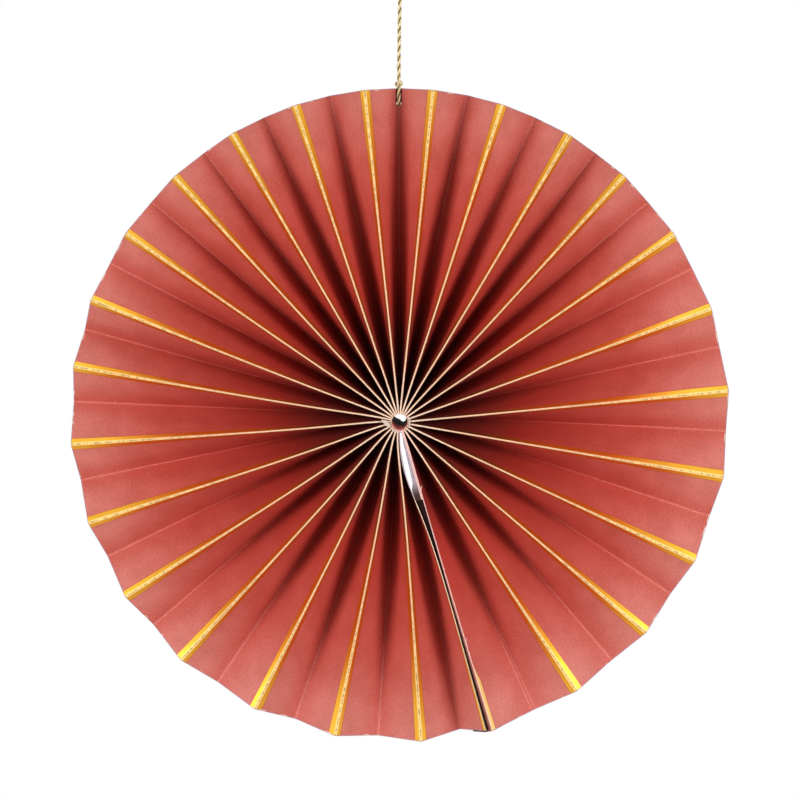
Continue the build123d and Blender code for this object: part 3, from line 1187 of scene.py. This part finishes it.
# The torn edge of the right free end, curled back so far that a little of its reverse shows:
# how far it reaches to the left at some distances out, until it meets the tape
curl_outs = (4.2, 6.0, 10.0, 20.0, 29.0, 33.0)
curl_reaches = (0.5, 0.9, 1.5, 2.0, 2.5, 3.3)
curl_overlap = 1
curl_waver = 0.25
curl_back_share = 0.3
# Where it starts on the reverse of the right free end, and where it tucks in on the left
curl_root, curl_root_lift = 0.3, 0.02
curl_tucked, curl_tucked_lift = 0.6, 0.1
curl_rows = 60
curl_columns = 8
curl_thickness = 0.12
curl_pattern_step = 0.4


def curl_line(radius):
    """Where the curled edge starts and ends at a radius."""
    left, left_along, left_away = panel_line(radius, True)
    right, right_along, right_away = panel_line(radius, False)
    reach = interpolated(radius, curl_outs, curl_reaches)
    reach += curl_waver * smooth_noise(radius * 0.8, 3.1, 0)
    free = right + (left - right).normalized() * reach + backwards * curl_back_share * reach
    tucked = left + left_along * curl_tucked + left_away * curl_tucked_lift
    joined = clamped((radius - curl_outs[-2]) / (curl_outs[-1] - curl_outs[-2]))
    near = right + right_along * curl_root + right_away * curl_root_lift
    return near, free.lerp(tucked, joined)


curl_lines = []
for number in range(curl_rows + 1):
    share = number / curl_rows
    radius = curl_outs[0] + share * (tape_start + curl_overlap - curl_outs[0])
    near, far = curl_line(radius)
    line = []
    for column in range(curl_columns + 1):
        point = near.lerp(far, column / curl_columns)
        given = {"from_edge": (point - near).length, "out": radius}
        line.append((point, backwards, (column * curl_pattern_step, radius), given))
    curl_lines.append(line)
curl = sheet_object("curled_edge", curl_lines, (0, curl_thickness), torn_lining())
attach(curl, "root")

# The binding thread, which is sewn round the hub, behind the crests and in places in front
thread_diameter = 0.55
thread_lay = 1.7
thread_sides = 8
thread_step = 0.15
thread_inset = 0.9
thread_behind_crest = 1.1
thread_before_crest = 0.42
thread_wobble = 0.18
thread_ring_points = 96
thread_ring_start = 150
stitch_arcs = ((58, 112), (196, 236), (318, 331))
stitch_blend = 5

ring_radius = hub_radius + thread_inset
crest_depth = ridge_depth(ring_radius)


def stitch_depth(angle):
    """How deep the thread runs at an angle round the hub."""
    shown = 0.0
    for start, end in stitch_arcs:
        inside = min(angle - start, end - angle)
        shown = max(shown, clamped(inside / stitch_blend + 0.5))
    return crest_depth + thread_behind_crest - shown * (thread_behind_crest + thread_before_crest)


thread_route = []
for number in range(thread_ring_points):
    angle = thread_ring_start + number * 360 / thread_ring_points
    turn = math.radians(angle)
    wobble = thread_wobble * smooth_noise(math.sin(turn) * 3, math.cos(turn) * 3, 1)
    thread_route.append(place(ring_radius + wobble, angle, 0, stitch_depth(angle % 360)))
thread_route.append(thread_route[0])

# The knotted tail: a short end wound into a lump, and two cut ends
tail_ridge = 4
tail_angle = 281.0
tail_out = 3.5
tail_thickness = 1.7
tail_clearance = 0.3
tail_turns = 6
tail_points = 44
tail_start_share, tail_length_share = 0.1, 0.75
tail_half_width, tail_swell = 0.55, 0.32
tail_flat_share = 0.8

leg_angle = settled(ring_radius, ridge_hub_angles[tail_ridge], ridge_angles[tail_ridge])
tail_depth = crest_depth - paper_thickness / 2 - tail_clearance - tail_thickness / 2
tail_start = place(ring_radius, leg_angle, 0, tail_depth)
tail_end = place(ring_radius + tail_out, tail_angle, 0, tail_depth)
tail_along = (tail_end - tail_start).normalized()
tail_side = tail_along.cross(backwards).normalized()
tail_route = [place(ring_radius, leg_angle, 0, crest_depth + thread_behind_crest), tail_start]
for number in range(tail_points):
    share = number / (tail_points - 1)
    turn = 2 * math.pi * tail_turns * share
    thick = tail_half_width + tail_swell * math.sin(math.pi * share)
    centre = tail_start.lerp(tail_end, tail_start_share + tail_length_share * share)
    round_it = tail_side * math.cos(turn) + backwards * math.sin(turn) * tail_flat_share
    tail_route.append(centre + round_it * thick)
tail_route.append(tail_end)

thread_lines = [
    evenly(line_through(name, route), thread_step)
    for name, route in (("thread_ring", thread_route), ("tail", tail_route))
]
thread = yarn_object(
    "sewing_thread", thread_lines, thread_diameter, thread_lay, thread_sides, thread_yarn,
)
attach(thread, "root")
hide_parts("hub_thread")

# Loose fibres that stand off the right free end of the strip
fibre_diameter = 0.34
fibre_lay = 3.0
fibre_sides = 6
fibre_step = 0.2
# How far out each fibre starts, how long it is, and how far it stands off to the right
fibres = (
    (33.0, 2.2, 0.9), (58.0, 0.9, 0.5), (71.0, 0.8, 0.4), (88.0, 1.0, 0.35),
    (108.0, 3.6, 0.45), (112.5, 1.6, 0.3), (120.0, 0.8, 0.5),
)
# On its way, the shares of its length and of its lean, and how far forwards it stands
fibre_way_shares = ((0.35, 0.3), (0.8, 0.6))
fibre_forwards = (0.25, 0.45, 0.3)

fibre_lines = []
for out, long, lean in fibres:
    root = card_row(out, -1)[-1][0]
    angle = fold_places(out)[-1][0]
    outwards = place(1, angle, 0, 0)
    sideways = place(0, angle, 1, 0)
    steps = [(long * run, lean * off) for run, off in fibre_way_shares]
    steps.append((long, lean * long / 2))
    route = [root]
    for (run, off), forwards in zip(steps, fibre_forwards):
        route.append(root - outwards * run - sideways * off - backwards * forwards)
    fibre_lines.append(evenly(line_through("fibre", route), fibre_step))
torn = yarn_object(
    "torn_fibres", fibre_lines, fibre_diameter, fibre_lay, fibre_sides, torn_fibre(),
)
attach(torn, "root")

# Floor, light and world, in metres
floor_drop = 0.30
floor_size = 8.0
shadow_reach, white_from = 0.26, 0.36
world_glow = 0.12


def seen_directly(t):
    """Whether a ray comes from the camera, straight, mirrored or let through."""
    straight, mirrored, let_through = (
        t.node("ShaderNodeLightPath", output=name)
        for name in ("Is Camera Ray", "Is Glossy Ray", "Is Transmission Ray")
    )
    return t.math("MAXIMUM", t.math("MAXIMUM", straight, mirrored), let_through)


def floor_paint():
    """Light grey that takes the shadow near the fan, and plain white farther out."""
    made, t = material("floor")
    t.surface((0.82, 0.82, 0.82), 0.9)
    where = t.node("ShaderNodeTexCoord", output="Object")
    far = t.node("ShaderNodeVectorMath", [where], "Value", operation="LENGTH")
    whiteness = t.times(seen_directly(t), t.smooth(far, shadow_reach, white_from))
    grey = t.tree.nodes["Principled BSDF"].outputs[0]
    white = t.node("ShaderNodeEmission", {"Color": (1, 1, 1), "Strength": 1})
    blend = t.node("ShaderNodeMixShader", (whiteness, grey, white))
    t.put(t.tree.nodes["Material Output"].inputs["Surface"], blend)
    return made


floor_mesh = bpy.data.meshes.new("floor")
floor_mesh.from_pydata(
    [
        (x * floor_size, y * floor_size, -floor_drop)
        for x, y in ((-1, -1), (1, -1), (1, 1), (-1, 1))
    ],
    [], [(0, 1, 2, 3)],
)
floor = placed("floor", floor_mesh)
floor_mesh.materials.append(floor_paint())

world = bpy.data.worlds.new("studio")
bpy.context.scene.world = world
world.use_nodes = True
sky = Tree(world.node_tree)
background = world.node_tree.nodes["Background"]
background.inputs["Color"].default_value = (1, 1, 1, 1)
sky.put(background.inputs["Strength"], sky.smooth(seen_directly(sky), 0, 1, world_glow, 1))

# Each light's place, width and power
lights = {
    "left": ((-1.15, -1.05, 0.22), 0.55, 17),
    "right": ((1.15, -1.05, 0.22), 0.55, 17),
    "overhead": ((0, -0.35, 1.35), 0.9, 5.5),
    "behind": ((0.2, 1.5, 0.5), 1.2, 10),
}
for name, (position, width, power) in lights.items():
    data = bpy.data.lights.new(name, "AREA")
    data.shape = "SQUARE"
    data.size = width
    data.energy = power
    light = placed(name, data)
    light.location = position
    faced(light, -Vector(position))

bpy.context.scene.view_settings.view_transform = "Standard"
